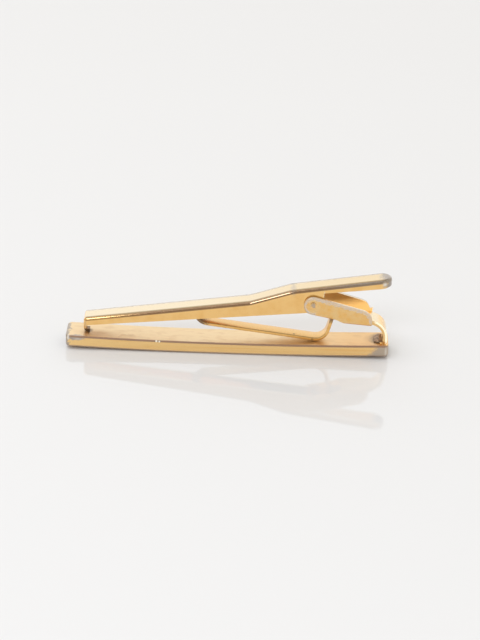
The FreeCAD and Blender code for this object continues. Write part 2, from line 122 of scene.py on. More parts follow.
def wire(tree, kind, sockets=None, **settings):
    """A new shader node with its settings and its sockets."""
    made = tree.nodes.new("ShaderNode" + kind)
    for name, setting in settings.items():
        setattr(made, name, setting)
    for name, source in (sockets or {}).items():
        plug(tree, made.inputs[name], source)
    return made


def new_material(name):
    """An empty material, and its node tree."""
    material = bpy.data.materials.new(name)
    material.use_nodes = True
    material.node_tree.nodes.clear()
    return material, material.node_tree


def finish_material(tree, **sockets):
    """The surface shader with these sockets, and the material's output."""
    named = {name.replace("_", " "): source for name, source in sockets.items()}
    shader = wire(tree, "BsdfPrincipled", named)
    wire(tree, "OutputMaterial", {"Surface": shader.outputs["BSDF"]})


def parts(tree, vector):
    """The three numbers of a vector."""
    split = wire(tree, "SeparateXYZ", {"Vector": vector})
    return split.outputs["X"], split.outputs["Y"], split.outputs["Z"]


def place_in_mm(tree):
    """The place on the piece in millimetres, whole and as its three numbers."""
    metres = wire(tree, "TexCoord").outputs["Object"]
    place = wire(tree, "VectorMath", {0: metres, "Scale": 1 / MM}, operation="SCALE").outputs["Vector"]
    return place, *parts(tree, place)


def facing(tree):
    """How far the surface faces along the piece, across it and up."""
    return parts(tree, wire(tree, "TexCoord").outputs["Normal"])


print("node helpers ready")

# %% [markdown]
# Shares. Most of a finish is a question of where. A share is a number from 0 to 1 at every place of the
# surface, and two colours or two grades of polish are mixed by it. A share fades between two limits. Shares
# are joined by their product, where both must hold, or by the greater one, where either will do.

# %% Shares and mixes
NOISE_RANGE = (0.3, 0.7)


def sums(tree, operation, first, second=0.0):
    """Arithmetic on one or two numbers."""
    return wire(tree, "Math", {0: first, 1: second}, operation=operation).outputs["Value"]


def away(tree, amount):
    """The amount without its sign: how far it is from 0."""
    return sums(tree, "ABSOLUTE", amount)


def both(tree, first, *others):
    """The product of shares: 1 only where all of them are 1."""
    for other in others:
        first = sums(tree, "MULTIPLY", first, other)
    return first


def either(tree, first, *others):
    """The greatest of shares."""
    for other in others:
        first = sums(tree, "MAXIMUM", first, other)
    return first


def fade(tree, amount, start, end):
    """0 at start and 1 at end, with a smooth change between them."""
    sockets = {"Value": amount, "From Min": start, "From Max": end}
    return wire(tree, "MapRange", sockets, interpolation_type="SMOOTHSTEP").outputs["Result"]


def spread(tree, noise, low, high):
    """A noise turned into a number from about low to about high."""
    start, end = NOISE_RANGE
    sockets = {"Value": noise, "From Min": start, "From Max": end, "To Min": low, "To Max": high}
    return wire(tree, "MapRange", sockets).outputs["Result"]


def tint(tree, share, first, second):
    """A colour that goes from first to second with the share."""
    mix = wire(tree, "Mix", data_type="RGBA")
    for index, source in ((0, share), (6, first), (7, second)):
        plug(tree, mix.inputs[index], source)
    return mix.outputs[2]


def between(tree, share, first, second):
    """A number that goes from first to second with the share."""
    return wire(tree, "Mix", {0: share, 2: first, 3: second}, data_type="FLOAT").outputs[0]


print("share helpers ready")

# %% [markdown]
# Patterns. Noise gives clouds, fine lines and ragged borders. A mark that sits at one place is a spot: a
# soft patch round a point, drawn out along the axes, with a border that noise can make ragged. It could
# also be painted on a picture, but then it would need a map of the surface. A relief makes a slight
# unevenness of a pattern.

# %% Patterns
Spot = namedtuple("Spot", "centre radius soft stretch ragged strength", defaults=[(1, 1, 1), 0, 1])


def grain(tree, place, size, stretch=(1, 1, 1), detail=3.0):
    """Noise with spots of about this size in millimetres, drawn out along the axes by stretch."""
    scale = [1 / (size * longer) for longer in stretch]
    mapped = wire(tree, "Mapping", {"Vector": place, "Scale": scale}).outputs["Vector"]
    return wire(tree, "TexNoise", {"Vector": mapped, "Scale": 1.0, "Detail": detail}).outputs["Fac"]


def vectors(tree, operation, first, second, result="Vector"):
    """Arithmetic on two vectors."""
    return wire(tree, "VectorMath", {0: first, 1: second}, operation=operation).outputs[result]


def distance(tree, place, centre, stretch=(1, 1, 1)):
    """The distance from a point, in a space that is drawn out by stretch."""
    shrink = [1 / longer for longer in stretch]
    scaled = vectors(tree, "MULTIPLY", vectors(tree, "SUBTRACT", place, centre), shrink)
    return wire(tree, "VectorMath", {0: scaled}, operation="LENGTH").outputs["Value"]


def patch(tree, place, spot, noise=0.0):
    """A spot's strength within its radius and 0 outside, with a soft border that the noise makes ragged."""
    border = both(tree, noise, spot.ragged)
    length = sums(tree, "ADD", distance(tree, place, spot.centre, spot.stretch), border)
    inside = fade(tree, length, spot.radius + spot.soft, spot.radius - spot.soft)
    return both(tree, inside, spot.strength)


def patches(tree, place, spots, noise=0.0):
    """The greatest of several spots."""
    return either(tree, *(patch(tree, place, spot, noise) for spot in spots))


def relief(tree, height, depth_mm):
    """A bumped normal from a height pattern of this depth."""
    sockets = {"Height": height, "Distance": depth_mm * MM, "Strength": 1.0}
    return wire(tree, "Bump", sockets).outputs["Normal"]


print("pattern helpers ready")

# %% [markdown]
# The table is a polished white board. It shows a faint mirror image of the clip, and the sides of the clip
# show the table. One large plane is enough for it. Its polish varies a little, as on any surface that is
# wiped.

# %% Table
TABLE_SIZE = 8
TABLE_WHITE = (0.84, 0.84, 0.84, 1)
TABLE_POLISH = (0.03, 0.05)
WIPES_PER_METRE = 9.0


def white_table():
    material, tree = new_material("white_table")
    place = wire(tree, "TexCoord").outputs["Object"]
    wipes = {"Vector": place, "Scale": WIPES_PER_METRE, "Detail": 2.0}
    cloud = wire(tree, "TexNoise", wipes).outputs["Fac"]
    finish_material(tree, Base_Color=TABLE_WHITE, Roughness=spread(tree, cloud, *TABLE_POLISH))
    return material


def add_table():
    bpy.ops.mesh.primitive_plane_add(size=TABLE_SIZE)
    table = bpy.context.object
    table.name = "table"
    table.data.materials.append(white_table())
    return table


table = add_table()
print("table", table.dimensions[:2])

# %% [markdown]
# The room. Polished metal has hardly any colour of its own: it shows what is round it. A bright white wall
# behind the clip is seen in the flat tops. The rest of the room is dimmer and slightly warm, so that the
# gold stays deep from every other side. It could be built of white cards, but a world shader does the same
# with a few fades. Each part of the room is given by a direction: x to the right, y to the back and z up.

# %% Room
WALL_LIGHT = 1.15
HIGH_LIGHT = 0.55
LOW_LIGHT = 0.85
SIDE_LIGHT = 0.75
FRONT_LIGHT = 0.5
DIM_LIGHT = 0.42
WHITE = (1, 1, 1, 1)
WARM_WHITE = (1.0, 0.94, 0.84, 1)
WALL_X = (0.75, 0.55)
WALL_Y = (-0.15, 0.15)
WALL_Z = (0.78, 0.62)
HIGH_Y = (-0.32, -0.12)
LOW_Y = (-0.5, -0.2)
LOW_Z = (0.42, 0.2)
LEFT_X = (-0.5, -0.72)
RIGHT_X = (0.15, 0.32)
FRONT_Y = (-0.2, -0.5)
FRONT_Z = (0.5, 0.38)


def room():
    """A bright white wall behind the clip, in a room that is dimmer and warmer."""
    world = bpy.data.worlds.new("room")
    bpy.context.scene.world = world
    world.use_nodes = True
    tree = world.node_tree
    tree.nodes.clear()
    x, y, z = parts(tree, wire(tree, "TexCoord").outputs["Generated"])
    wall = both(tree, fade(tree, y, *WALL_Y), fade(tree, away(tree, x), *WALL_X), fade(tree, z, *WALL_Z))
    high = fade(tree, y, *HIGH_Y)
    low = both(tree, fade(tree, z, *LOW_Z), fade(tree, y, *LOW_Y))
    side = either(tree, fade(tree, x, *LEFT_X), fade(tree, x, *RIGHT_X))
    front = both(tree, fade(tree, z, *FRONT_Z), fade(tree, y, *FRONT_Y))
    light = either(
        tree,
        both(tree, wall, WALL_LIGHT),
        both(tree, high, HIGH_LIGHT),
        both(tree, low, LOW_LIGHT),
        both(tree, side, SIDE_LIGHT),
        both(tree, front, FRONT_LIGHT),
        DIM_LIGHT,
    )
    sockets = {"Color": tint(tree, wall, WARM_WHITE, WHITE), "Strength": light}
    background = wire(tree, "Background", sockets)
    wire(tree, "OutputWorld", {"Surface": background.outputs["Background"]})
    return world


print("world:", room().name)

# %% [markdown]
# The lamps. A small soft lamp on the left draws a bright line along the lever's edge near the tip. The two
# large lamps light the table and the dull places, and are kept out of the reflections. All lamps are
# slightly blue to make up for the warm room, hang level and shine straight down. Places and sizes are in
# metres, power is in watts.

# %% Lamps
Lamp = namedtuple("Lamp", "place size power reflected")
LAMP_COLOUR = (0.96, 1.015, 1.12)
LAMPS = {
    "tip_lamp": Lamp((-0.145, -0.12, 0.3), (0.08, 0.14), 0.18, True),
    "ceiling_lamp": Lamp((-0.3, -0.1, 0.9), (0.6, 0.6), 2.8, False),
    "front_lamp": Lamp((-0.3, -1.0, 0.8), (0.8, 0.5), 5.8, False),
}


def add_lamp(name, lamp):
    """A soft rectangular lamp, either seen in the metal or lighting dull surfaces."""
    bpy.ops.object.light_add(type="AREA", location=lamp.place)
    added = bpy.context.object
    added.name = name
    added.data.shape = "RECTANGLE"
    added.data.size, added.data.size_y = lamp.size
    added.data.energy = lamp.power
    added.data.color = LAMP_COLOUR
    added.visible_glossy = lamp.reflected
    added.visible_diffuse = not lamp.reflected
    return added


for name, lamp in LAMPS.items():
    add_lamp(name, lamp)
bpy.context.scene.view_settings.view_transform = "Standard"

# %% [markdown]
# Gold plate. The clip is brass under a thin layer of gold with a clear lacquer, polished on the lever and
# the ears and brushed to a satin on the bar's back. Where it is handled most, the layer is rubbed through
# to a grey metal below. Brown painted in the corners and under other parts is mostly painted shade, with
# some real tarnish. A few lines and spots are painted reflections and highlights. Every finish could have
# its own colours, but the pieces look like one metal when all of them mix these same few.

# %% Gold plate
GOLD = (1.0, 0.63, 0.23, 1)
BAR_GOLD = (1.0, 0.68, 0.285, 1)
EAR_GOLD = (0.93, 0.625, 0.275, 1)
DEEP_GOLD = (0.94, 0.55, 0.17, 1)
CREAM_GOLD = (0.84, 0.70, 0.47, 1)
THUMB_GOLD = (0.79, 0.605, 0.34, 1)
SATIN_GOLD = (0.99, 0.765, 0.455, 1)
STRIP_GOLD = (0.81, 0.51, 0.195, 1)
PALE_GOLD = (1.0, 0.88, 0.62, 1)
WORN_GREY = (0.50, 0.43, 0.36, 1)
DARK_GREY = (0.40, 0.345, 0.29, 1)
PALE_GREY = (0.84, 0.79, 0.72, 1)
# Near white for the chips, painted as their glint.
CHIP_GLINT_WHITE = (1.0, 0.95, 0.82, 1)
# The brown of painted dark reflections along rounded edges.
DARK_REFLECTION_BROWN = (0.42, 0.26, 0.17, 1)
BROWN_GOLD = (0.72, 0.45, 0.20, 1)
RIM_BROWN = (0.54, 0.43, 0.345, 1)
# A dark brown for painted shade, and for real stains and tarnish.
SHADE_AND_TARNISH = (0.24, 0.16, 0.10, 1)
LACQUER_IOR = 1.6


def plate_shader(tree, colour, roughness, normal, lacquer=0.6, lacquer_roughness=0.05, bare=1.0):
    """Metal of this colour and polish under a thin lacquer. It is less bare where it is dull, worn or
    chipped, and under some painted edge reflections and highlights.
    """
    finish_material(
        tree,
        Base_Color=colour,
        Metallic=bare,
        Roughness=roughness,
        Normal=normal,
        Coat_Weight=lacquer,
        Coat_Roughness=lacquer_roughness,
        Coat_IOR=LACQUER_IOR,
    )


print("gold plate ready")

# %% [markdown]
# The lever is polished all over. Its flat top is painted paler than its sides, as a painted reflection of
# the bright wall. Along its rounded edges runs a brown line of painted dark reflection, which gives way to
# grey wear towards the thumb end. That end has lost its gold, and the bend before it has a rubbed streak.
# The small lip under the tip is painted dark brown, mostly as painted shade and partly as dirt. A brown line
# in the tip's near corner is a painted dark reflection, and a pale line on the flange's cut edge and a pale
# spot at the thumb end are painted highlights. Each mark follows the shape, so it is placed in millimetres
# on the piece. A soft fall towards the edges makes them look rounder.

# %% Lever finish
FACING_UP = (0.78, 0.92)
FACING_NEAR = (-0.4, -0.7)
FACING_DOWN = (-0.3, -0.6)
THUMB_END = Spot((29.0, 0.2, 14.2), 1.95, 0.6, (1.1, 1.5, 1.2), ragged=1)
BEND_STREAK = Spot((11.5, 0, 12.2), 0.4, 0.3, (1, 5, 2), ragged=0.6, strength=0.55)
TIP_CORNER_REFLECTION = Spot((-25.2, -2.1, 4.4), 0.13, 0.1, (1, 9, 9), strength=0.9)
FLANGE_CUT_HIGHLIGHT = Spot((16.95, -2.1, 11.3), 0.14, 0.08, (1, 5, 7))
THUMB_HIGHLIGHT = Spot((27.6, -2.1, 14.15), 0.35, 0.2, (1.3, 1, 1))
EDGE_BAND = (1.5, 1.65)
EDGE_FALL = (1.1, 1.75)
EDGE_FALL_DEPTH = 0.26
EDGE_REFLECTION_START = (-23, -13)
THUMB_EDGE_START = (13, 25)
CREAM_TO_THUMB = (-12, 26)
CREAM_SIDE = (-1.75, -1.2)
LIP_SIDE = (1.4, 1.0)
LIP_BACK = (-24.2, -24.5)
LIP_TOP = (3.5, 3.2)
LIP_SHADE_TOP = (3.1, 2.9)
POLISH_WAVE = 0.0006


def lever_wear(tree, place, x, edge):
    """The share of the thumb end, and of all places where the gold is rubbed off."""
    ragged = spread(tree, grain(tree, place, 0.5), -0.3, 0.3)
    thumb_end = patch(tree, place, THUMB_END, ragged)
    thumb_edge = both(tree, edge, fade(tree, x, *THUMB_EDGE_START), 0.8)
    return thumb_end, either(tree, thumb_end, thumb_edge, patch(tree, place, BEND_STREAK, ragged))


def lever_gold(tree, place, x, y, out, up, edge, cloud):
    """Gold with a paler top that is a painted reflection of the bright wall, a paler underside, and painted
    dark reflections along the edges and in the tip's near corner.
    """
    # The paler top is a painted reflection of the bright wall.
    flat_top = both(tree, fade(tree, up, *FACING_UP), fade(tree, y, *CREAM_SIDE))
    painted_top_sheen = tint(tree, fade(tree, x, *CREAM_TO_THUMB), CREAM_GOLD, THUMB_GOLD)
    # The brown line along the rounded edges is a painted dark reflection.
    dark_edge_reflection = both(tree, edge, between(tree, fade(tree, x, *EDGE_REFLECTION_START), 0.25, 0.8))
    # The brown line in the tip's near corner is a painted dark reflection.
    tip_corner_reflection = both(tree, fade(tree, out, *FACING_NEAR), patch(tree, place, TIP_CORNER_REFLECTION))
    colour = tint(tree, fade(tree, cloud, 0.35, 0.8), GOLD, DEEP_GOLD)
    colour = tint(tree, flat_top, colour, painted_top_sheen)
    colour = tint(tree, fade(tree, up, *FACING_DOWN), colour, CREAM_GOLD)
    colour = tint(tree, dark_edge_reflection, colour, DARK_REFLECTION_BROWN)
    return tint(tree, tip_corner_reflection, colour, BROWN_GOLD)


def lever_plate():
    material, tree = new_material("lever_plate")
    place, x, y, z = place_in_mm(tree)
    _, out, up = facing(tree)
    off_middle = away(tree, y)
    cloud = grain(tree, place, 1.6)
    lines = grain(tree, place, 0.1, stretch=(15, 1, 1))
    edge = both(tree, fade(tree, off_middle, *EDGE_BAND), fade(tree, up, 0.1, 0.3))
    thumb_end, worn = lever_wear(tree, place, x, edge)
    # The lip is painted brown, and dark low down: mostly painted shade under the tip, partly dirt.
    lip = both(tree, fade(tree, off_middle, *LIP_SIDE), fade(tree, x, *LIP_BACK), fade(tree, z, *LIP_TOP))
    lip_shade = both(tree, lip, fade(tree, z, *LIP_SHADE_TOP))
    # The pale line on the flange's cut edge is a painted highlight.
    cut = both(tree, fade(tree, out, *FACING_NEAR), patch(tree, place, FLANGE_CUT_HIGHLIGHT))
    colour = lever_gold(tree, place, x, y, out, up, edge, cloud)
    colour = tint(tree, worn, colour, tint(tree, thumb_end, WORN_GREY, DARK_GREY))
    colour = tint(tree, both(tree, lip, 0.7), colour, BROWN_GOLD)
    colour = tint(tree, lip_shade, colour, SHADE_AND_TARNISH)
    colour = tint(tree, cut, colour, PALE_GOLD)
    # The pale grey spot at the thumb end is a painted highlight.
    colour = tint(tree, patch(tree, place, THUMB_HIGHLIGHT), colour, PALE_GREY)
    roughness = between(tree, worn, spread(tree, lines, 0.06, 0.14), 0.28)
    roughness = between(tree, lip, roughness, 0.6)
    top = fade(tree, up, *FACING_UP)
    fall = both(tree, top, fade(tree, off_middle, *EDGE_FALL), -EDGE_FALL_DEPTH)
    height = sums(tree, "ADD", fall, both(tree, cloud, POLISH_WAVE))
    plate_shader(tree, colour, roughness, relief(tree, height, 1))
    return material


nodes["clip_lever"].material_slots[0].material = lever_plate()
print("finished clip_lever")

# %% [markdown]
# The bar's wear. The bar is rubbed through to grey at its two ends, with a crescent at the near corner of
# its tip and a slanting border at the hinge. Some of the grey carries painted highlights, and two chips on
# the near edge are painted nearly white as their glint. A brown line along both long edges of the back is a
# painted dark reflection. To follow the bar's slight bow, it is found from the height above the bowed face
# and not from the height above the table.

# %% Bar wear
TIP_CRESCENT = Spot((-26.9, -3.0, 2.35), 0.8, 0.25, (1.9, 1, 0.65), ragged=0.5)
WORN_HIGHLIGHT_SPOTS = (
    Spot((-28.2, -2.75, 2.3), 0.22, 0.12, (1, 2, 2)),
    Spot((-26.5, -3.0, 2.1), 0.3, 0.25, (2, 1, 0.6), strength=0.45),
    Spot((28.2, -2.8, 1.5), 0.16, 0.14, (1, 3, 5), strength=0.6),
)
CHIP_GLINTS = (
    Spot((-12.53, -2.95, 2.17), 0.2, 0.08),
    Spot((-12.0, -2.95, 2.09), 0.16, 0.07),
)
TIP_WEAR = (-27.9, -28.4)
HINGE_WEAR_SLANT = 0.93
HINGE_WEAR_START = 24.29
HINGE_WEAR = (HINGE_WEAR_START - 0.5, HINGE_WEAR_START + 0.9)
BAR_THICKNESS = 2.15
BAR_LAND_HALF = 2.0
BAR_BOW_RADIUS = 690
BAR_EDGE = (2.64, 2.74)
BAR_EDGE_REFLECTION_BAND = (-0.3, -0.2)


def bar_wear(tree, place, x, z, up, ragged):
    """The share of the tip's end, and of all places where the gold is rubbed off."""
    tip_end = fade(tree, sums(tree, "ADD", x, ragged), *TIP_WEAR)
    slanted = sums(tree, "SUBTRACT", x, both(tree, z, HINGE_WEAR_SLANT))
    hinge_end = fade(tree, sums(tree, "ADD", slanted, ragged), *HINGE_WEAR)
    hinge_end = both(tree, hinge_end, fade(tree, up, 0.9, 0.6), 0.9)
    crescent = patch(tree, place, TIP_CRESCENT, ragged)
    return tip_end, either(tree, crescent, both(tree, tip_end, 0.95), hinge_end)


def bar_edge_reflection(tree, x, y, z, out):
    """1 in a thin line along the two long edges of the bowed back, where a dark reflection is painted."""
    past_land = either(tree, sums(tree, "SUBTRACT", away(tree, x), BAR_LAND_HALF), 0.0)
    rise = sums(tree, "DIVIDE", sums(tree, "POWER", past_land, 2.0), 2 * BAR_BOW_RADIUS)
    above_back = sums(tree, "SUBTRACT", z, sums(tree, "ADD", rise, BAR_THICKNESS))
    front_edge = fade(tree, both(tree, y, -1), *BAR_EDGE)
    far_edge = both(tree, fade(tree, y, *BAR_EDGE), fade(tree, out, 0.2, 0.5))
    return both(tree, fade(tree, above_back, *BAR_EDGE_REFLECTION_BAND), either(tree, front_edge, far_edge))


print("bar wear:", len(WORN_HIGHLIGHT_SPOTS), "pale spots,", len(CHIP_GLINTS), "chip_glints")

# %% [markdown]
# The bar's finish. The bar is polished on its front and sides, with fine lines along it, and satin on its
# back. The back is blotched brown under the tip, the lever, the spring and the strap, as painted shadows and
# dark reflections, and round the solder, partly as a real stain. The rim of the front face is rubbed to a
# dull brown, since the bar rests on it. Fine lines could come from a picture of scratches. Noise that is
# drawn out along the bar gives the same lines at any distance.

# %% Bar finish
SHADE_SMEARS = (
    Spot((-22.9, -1.2, 2.4), 1.3, 1.1, (2.2, 1, 1)),
    Spot((-18.0, -1.5, 2.3), 0.6, 0.5, (3, 1, 1), ragged=0.9, strength=0.75),
    Spot((9.6, -1.6, 2.3), 0.9, 0.9, (5, 1, 1), strength=0.4),
    Spot((25.4, 0.0, 2.6), 0.7, 0.7, (1.2, 2.4, 1)),
)
STAINS_AND_SHADOWS = (
    Spot((26.5, 0.0, 2.6), 0.85, 0.6, (1.1, 2.1, 1), ragged=0.5),
    Spot((-24.6, -0.1, 2.6), 0.5, 0.3, (1.0, 1.3, 1)),
)
DEEPER_SATIN = (6, 24)
BAR_LINE_DEPTH = 0.0012


def bar_satin(tree, place, x, ragged):
    """The colour of the back: satin gold, deeper towards the hinge, with painted brown shade under the parts
    above it and random brown spots.
    """
    cloud = grain(tree, place, 1.1, stretch=(2, 1, 1), detail=5.0)
    # The brown smears under the tip, the lever, the spring and the strap are painted shadows and dark
    # reflections.
    shade_smears = both(tree, patches(tree, place, SHADE_SMEARS, ragged), spread(tree, cloud, 0.35, 0.9))
    spots = both(tree, fade(tree, cloud, 0.45, 0.75), 0.35)
    satin = tint(tree, both(tree, fade(tree, x, *DEEPER_SATIN), 0.55), SATIN_GOLD, DEEP_GOLD)
    return tint(tree, either(tree, shade_smears, spots), satin, BROWN_GOLD)


def bar_plate():
    material, tree = new_material("bar_plate")
    place, x, y, z = place_in_mm(tree)
    _, out, up = facing(tree)
    lines = grain(tree, place, 0.14, stretch=(30, 1, 1))
    bands = grain(tree, place, 0.4, stretch=(60, 1, 1), detail=1.0)
    ragged = spread(tree, grain(tree, place, 0.5, detail=5.0), -0.4, 0.4)
    back = fade(tree, up, 0.8, 0.97)
    front_rim = fade(tree, up, 0.0, -0.25)
    tip_end, worn = bar_wear(tree, place, x, z, up, ragged)
    dark_edge_reflection = bar_edge_reflection(tree, x, y, z, out)
    chip_glints = patches(tree, place, CHIP_GLINTS)
    # The dark patch round the solder is partly a real stain; the one under the tip's lip is a painted shadow.
    stain_and_shadow = both(tree, back, patches(tree, place, STAINS_AND_SHADOWS, ragged), 0.8)
    side = tint(tree, fade(tree, either(tree, lines, bands), 0.5, 0.9), BAR_GOLD, DEEP_GOLD)
    colour = tint(tree, back, side, bar_satin(tree, place, x, ragged))
    colour = tint(tree, stain_and_shadow, colour, SHADE_AND_TARNISH)
    colour = tint(tree, worn, colour, tint(tree, tip_end, WORN_GREY, DARK_GREY))
    # The brown line along the back's long edges is a painted dark reflection.
    colour = tint(tree, dark_edge_reflection, colour, DARK_REFLECTION_BROWN)
    colour = tint(tree, both(tree, front_rim, 0.8), colour, RIM_BROWN)
    # The pale spots on the worn grey are painted highlights.
    colour = tint(tree, patches(tree, place, WORN_HIGHLIGHT_SPOTS), colour, PALE_GREY)
    # The two chips are real nicks, painted nearly white as a painted highlight.
    colour = tint(tree, chip_glints, colour, CHIP_GLINT_WHITE)
    polish = between(tree, back, spread(tree, lines, 0.12, 0.22), spread(tree, lines, 0.42, 0.52))
    roughness = between(tree, worn, polish, 0.32)
    roughness = between(tree, either(tree, front_rim, dark_edge_reflection, chip_glints), roughness, 0.7)
    bare = between(tree, either(tree, both(tree, dark_edge_reflection, 0.6), chip_glints), 1.0, 0.0)
    plate_shader(tree, colour, roughness, relief(tree, lines, BAR_LINE_DEPTH), 0.5, 0.3, bare)
    return material


nodes["front_bar"].material_slots[0].material = bar_plate()
print("finished front_bar")

# %% [markdown]
# The rims of the ears. The bracket's ears are rubbed grey in a band along their outer rims, where fingers
# pass over them. The band is found from the ear's own outline: a round lobe about the rivet, a straight top
# edge, a round shoulder and a straight end. Each of the four gives a share, and the band is the greatest of
# them. A painted mask would do too, but this one keeps to the outline exactly.

# %% Ear rims
EAR_LOBE = (0, -0.28, 1.66)
EAR_SHOULDER = (8.31, -3.05, 2.2)
EAR_TOP_NORMAL = (0.2571, 0, 0.9664)
EAR_TOP = 1.389
EAR_END = 10.51
LOBE_SIDE = (0.7, 0.2)
TOP_SIDE = (9.2, 8.8)
END_SIDE = (8.4, 9.2)
EAR_END_SOFT = 0.15
LOBE_BAND = (0.7, 0.3)
TOP_BAND = (0.65, 0.3)
END_BAND = (0.7, 0.35)


def near_edge(tree, amount, edge, band):
    """0 well inside an edge and 1 close to it, over a band measured inwards from the edge."""
    start, end = band
    return fade(tree, amount, edge - start, edge - end)


def ear_rim(tree, place, ragged):
    """1 in the band along the outline of an ear."""
    at = vectors(tree, "SUBTRACT", place, PIVOT / MM)
    flat = vectors(tree, "MULTIPLY", at, (1, 0, 1))
    along, _, _ = parts(tree, at)
    lobe_x, lobe_z, lobe_radius = EAR_LOBE
    shoulder_x, shoulder_z, shoulder_radius = EAR_SHOULDER
    lobe = sums(tree, "ADD", distance(tree, flat, (lobe_x, 0, lobe_z)), ragged)
    shoulder = sums(tree, "ADD", distance(tree, flat, (shoulder_x, 0, shoulder_z)), ragged)
    height = sums(tree, "ADD", vectors(tree, "DOT_PRODUCT", at, EAR_TOP_NORMAL, "Value"), ragged)
    end = sums(tree, "ADD", along, ragged)
    on_lobe = both(tree, fade(tree, along, *LOBE_SIDE), near_edge(tree, lobe, lobe_radius, LOBE_BAND))
    on_top = both(tree, near_edge(tree, height, EAR_TOP, TOP_BAND), fade(tree, along, *TOP_SIDE))
    on_shoulder = near_edge(tree, shoulder, shoulder_radius, END_BAND)
    on_end = either(tree, on_shoulder, near_edge(tree, end, EAR_END, END_BAND))
    before_end = fade(tree, along, EAR_END + EAR_END_SOFT, EAR_END)
    on_end = both(tree, fade(tree, along, *END_SIDE), on_end, before_end)
    return either(tree, on_lobe, on_top, on_end)


print("ear rims: lobe", EAR_LOBE, "shoulder", EAR_SHOULDER)

# %% [markdown]
# The bracket and the rivet. Inside, the ears have kept a duller gold, painted deeper as painted shade. Faces
# turned up are painted paler as a painted reflection, and a pale band on the strap's outer face is a painted
# highlight. Dull and worn places are made less metallic, because a bare metal shows only reflections and
# these places also scatter the light of the lamps. The rivet's heads are rubbed grey.

# %% Bracket finish
EAR_INSIDE = 2.15
EAR_OUTSIDE = (EAR_INSIDE + 0.2, EAR_INSIDE + 0.35)
EAR_WEAR_FLOOR = (6.5, 6.9)
FAR_EAR = (1.6, 1.9)
STRAP_BEND = (25.09, 3.80)
STRAP_RADIUS = 3.276
STRAP_OUTER = (STRAP_RADIUS - 0.45, STRAP_RADIUS - 0.25)
STRAP_START = (25.6, 26.4)
STRAP_TOP = (8.0, 7.5)
BRACKET_LINE_DEPTH = 0.0008
RIVET_WEAR = Spot(PIVOT / MM, 0.45, 0.15, (1, 20, 1), ragged=1)
RIVET_DENT_DEPTH = 0.004


def strap_outside(tree, x, z, up):
    """1 on the outer face of the strap, found from its distance to the centre of its bend."""
    bend_x, bend_z = STRAP_BEND
    above = either(tree, sums(tree, "SUBTRACT", z, bend_z), 0.0)
    beside = sums(tree, "SUBTRACT", x, bend_x)
    from_bend = wire(tree, "CombineXYZ", {"X": beside, "Z": above}).outputs["Vector"]
    outer = fade(tree, distance(tree, from_bend, (0, 0, 0)), *STRAP_OUTER)
    return both(tree, outer, fade(tree, x, *STRAP_START), fade(tree, z, *STRAP_TOP), fade(tree, up, 0.6, 0.3))


def bracket_plate():
    material, tree = new_material("bracket_plate")
    place, x, y, z = place_in_mm(tree)
    _, out, up = facing(tree)
    cloud = grain(tree, place, 1.2)
    fine = grain(tree, place, 0.3, detail=5.0)
    lines = grain(tree, place, 0.12, stretch=(10, 1, 1))
    rim = ear_rim(tree, place, spread(tree, fine, -0.22, 0.22))
    outside = fade(tree, away(tree, y), *EAR_OUTSIDE)
    worn = both(tree, rim, outside, fade(tree, z, *EAR_WEAR_FLOOR), spread(tree, fine, 0.6, 1.0))
    inside = both(tree, fade(tree, y, *FAR_EAR), fade(tree, out, -0.5, -0.8))
    strap = strap_outside(tree, x, z, up)
    colour = tint(tree, fade(tree, cloud, 0.35, 0.75), EAR_GOLD, DEEP_GOLD)
    # Faces turned up are painted paler as a painted reflection.
    colour = tint(tree, fade(tree, up, 0.75, 0.95), colour, CREAM_GOLD)
    # The deeper gold inside the ears is painted shade.
    colour = tint(tree, inside, colour, DEEP_GOLD)
    # The pale band on the strap's outer face is a painted highlight.
    colour = tint(tree, strap, colour, PALE_GOLD)
    colour = tint(tree, worn, colour, WORN_GREY)
    roughness = between(tree, worn, spread(tree, lines, 0.16, 0.26), 0.38)
    roughness = between(tree, inside, roughness, 0.6)
    bare = between(tree, either(tree, inside, both(tree, strap, 0.55), both(tree, worn, 0.6)), 1.0, 0.3)
    plate_shader(tree, colour, roughness, relief(tree, lines, BRACKET_LINE_DEPTH), 0.2, 0.1, bare)
    return material


def rivet_plate():
    material, tree = new_material("rivet_plate")
    place, _, _, _ = place_in_mm(tree)
    worn = patch(tree, place, RIVET_WEAR, spread(tree, grain(tree, place, 0.3), -0.2, 0.2))
    cloud = grain(tree, place, 0.4)
    gold = tint(tree, fade(tree, cloud, 0.3, 0.7), GOLD, DEEP_GOLD)
    colour = tint(tree, both(tree, worn, 0.8), gold, WORN_GREY)
    plate_shader(tree, colour, between(tree, worn, 0.2, 0.34), relief(tree, cloud, RIVET_DENT_DEPTH))
    return material


nodes["hinge_bracket"].material_slots[0].material = bracket_plate()
nodes["pivot_rivet"].material_slots[0].material = rivet_plate()
print("finished hinge_bracket and pivot_rivet")

# %% [markdown]
# Small modelling helpers. Every new piece starts as a primitive at its size and place and is shaped in edit
# mode. It ends with its doubled points merged, its faces turned outwards and its shading smoothed.

# %% Modelling helpers
ACROSS = (0, 1, 0)
MERGE_DISTANCE = 0.001 * MM


def grow(move):
    """Pulls the selected face out by this move."""
    bpy.ops.mesh.extrude_region_move(TRANSFORM_OT_translate={"value": move})


def swing(centre, degrees, steps=12):
    """Sweeps the selected face round a centre, about the line across the clip."""
    bpy.ops.mesh.spin(steps=steps, angle=math.radians(degrees), center=centre, axis=ACROSS)


def start_piece(name):
    """Names the new primitive and opens it for editing with all of it selected."""
    piece = bpy.context.object
    piece.name = piece.data.name = name
    bpy.ops.object.transform_apply(location=True, rotation=True, scale=True)
    bpy.ops.object.mode_set(mode="EDIT")
    bpy.ops.mesh.select_all(action="SELECT")
    return piece


